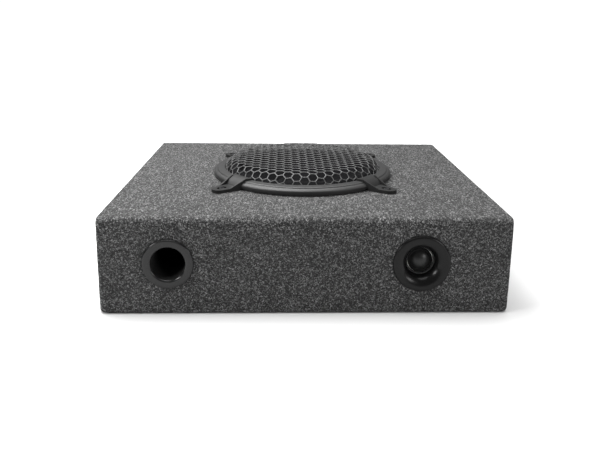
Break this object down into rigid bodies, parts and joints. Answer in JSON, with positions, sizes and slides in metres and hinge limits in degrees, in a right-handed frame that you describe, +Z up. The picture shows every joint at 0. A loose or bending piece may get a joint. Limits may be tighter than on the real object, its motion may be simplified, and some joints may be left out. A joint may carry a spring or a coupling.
{
  "type": "powered car subwoofer",
  "caption": "Low carpeted box with an upward-firing woofer under a raised hexagon grille held by clamps, a port and a dome tweeter in front and an amplifier panel behind.",
  "frame": {"origin": "middle of the underside, on the surface the box stands on", "axes": "+X to the right seen from the front, +Y to the rear where the amplifier panel is, +Z up along the woofer axis"},
  "size_m": [0.5, 0.469, 0.147],
  "materials": {
    "anodised_black": "anodised",
    "black_plastic": "satin",
    "black_steel": "satin",
    "blue_film": "gloss",
    "board_green": "solder mask",
    "capacitor_sleeve": "gloss",
    "carpet": "heathered felt",
    "coil_former": "anodised",
    "cone_pulp": "satin",
    "control_case": "matt",
    "copper": "enamelled",
    "ferrite": "matt",
    "fibreboard": "raw",
    "foam_gasket": "matt",
    "fuse_amber": "clear",
    "lead_jacket": "matt",
    "led_blue": "clear",
    "plated_steel": "satin",
    "silk": "coated",
    "socket_ivory": "satin",
    "spider_cloth": "resin dipped",
    "surround_rubber": "satin",
    "terminal_board": "matt"
  },
  "bodies": {
    "cabinet": {"top_panel": "fibreboard", "bottom_panel": "fibreboard", "front_panel": "fibreboard", "rear_panel": "fibreboard", "left_panel": "fibreboard", "right_panel": "fibreboard", "corner_blocks": "fibreboard", "carpet_wrap": "carpet", "carpet_sides": "carpet", "carpet_base": "carpet", "woofer_gasket": "foam_gasket", "woofer_basket": "black_steel", "woofer_surround": "surround_rubber", "spider": "spider_cloth", "magnet_top_plate": "plated_steel", "magnet_ring": "ferrite", "magnet_yoke": "plated_steel", "woofer_terminals": "terminal_board", "tinsel_leads": "copper", "surround_gasket": "foam_gasket", "woofer_screws": "black_steel", "grille_ring": "black_plastic", "grille_mesh": "black_steel", "grille_clamps": "black_plastic", "clamp_screws": "black_steel", "port_flange": "black_plastic", "port_tube": "black_plastic", "tweeter_faceplate": "black_plastic", "tweeter_trim_ring": "coil_former", "tweeter_magnet": "ferrite", "tweeter_pole_plates": "plated_steel", "tweeter_lock_nut": "black_plastic", "tweeter_capacitor": "blue_film", "woofer_leads": "lead_jacket", "tweeter_leads": "lead_jacket", "amp_panel": "black_steel", "amp_gasket": "foam_gasket", "amp_heatsink": "anodised_black", "amp_circuit_board": "board_green", "amp_standoffs": "copper", "amp_screws": "black_steel", "supply_capacitors": "capacitor_sleeve", "power_inductor": "copper", "potentiometers": "control_case", "phase_switch_body": "plated_steel", "rca_jacks": "plated_steel", "harness_socket": "socket_ivory", "fuse_holder": "black_plastic", "fuse": "fuse_amber", "power_led": "led_blue"},
    "woofer_diaphragm": {"woofer_cone": "cone_pulp", "dust_cap": "cone_pulp", "voice_coil_former": "coil_former", "voice_coil": "copper"},
    "tweeter_diaphragm": {"tweeter_dome": "silk", "tweeter_voice_coil": "copper"},
    "gain_control": {"gain_knob": "black_plastic"},
    "crossover_control": {"crossover_knob": "black_plastic"},
    "bass_control": {"bass_knob": "black_plastic"},
    "phase_control": {"phase_switch_lever": "black_plastic"}
  },
  "joints": [
    {"name": "woofer_travel", "type": "slide", "parent": "cabinet", "child": "woofer_diaphragm", "axis": [0, 0, 1], "range_m": [-0.008, 0.008], "stiffness_N_per_m": 2500, "deforming": ["woofer_surround", "spider", "tinsel_leads"]},
    {"name": "tweeter_travel", "type": "slide", "parent": "cabinet", "child": "tweeter_diaphragm", "axis": [0, 1, 0], "range_m": [-0.0003, 0.0003], "stiffness_N_per_m": 500},
    {"name": "gain_turn", "type": "hinge", "parent": "cabinet", "child": "gain_control", "pos_m": [-0.015, 0.229, 0.079], "axis": [0, 1, 0], "range_deg": [-150, 150]},
    {"name": "crossover_turn", "type": "hinge", "parent": "cabinet", "child": "crossover_control", "pos_m": [0.02, 0.229, 0.079], "axis": [0, 1, 0], "range_deg": [-150, 150]},
    {"name": "bass_turn", "type": "hinge", "parent": "cabinet", "child": "bass_control", "pos_m": [0.055, 0.229, 0.079], "axis": [0, 1, 0], "range_deg": [-150, 150]},
    {"name": "phase_slide", "type": "slide", "parent": "cabinet", "child": "phase_control", "axis": [1, 0, 0], "range_m": [0, 0.005]}
  ]
}
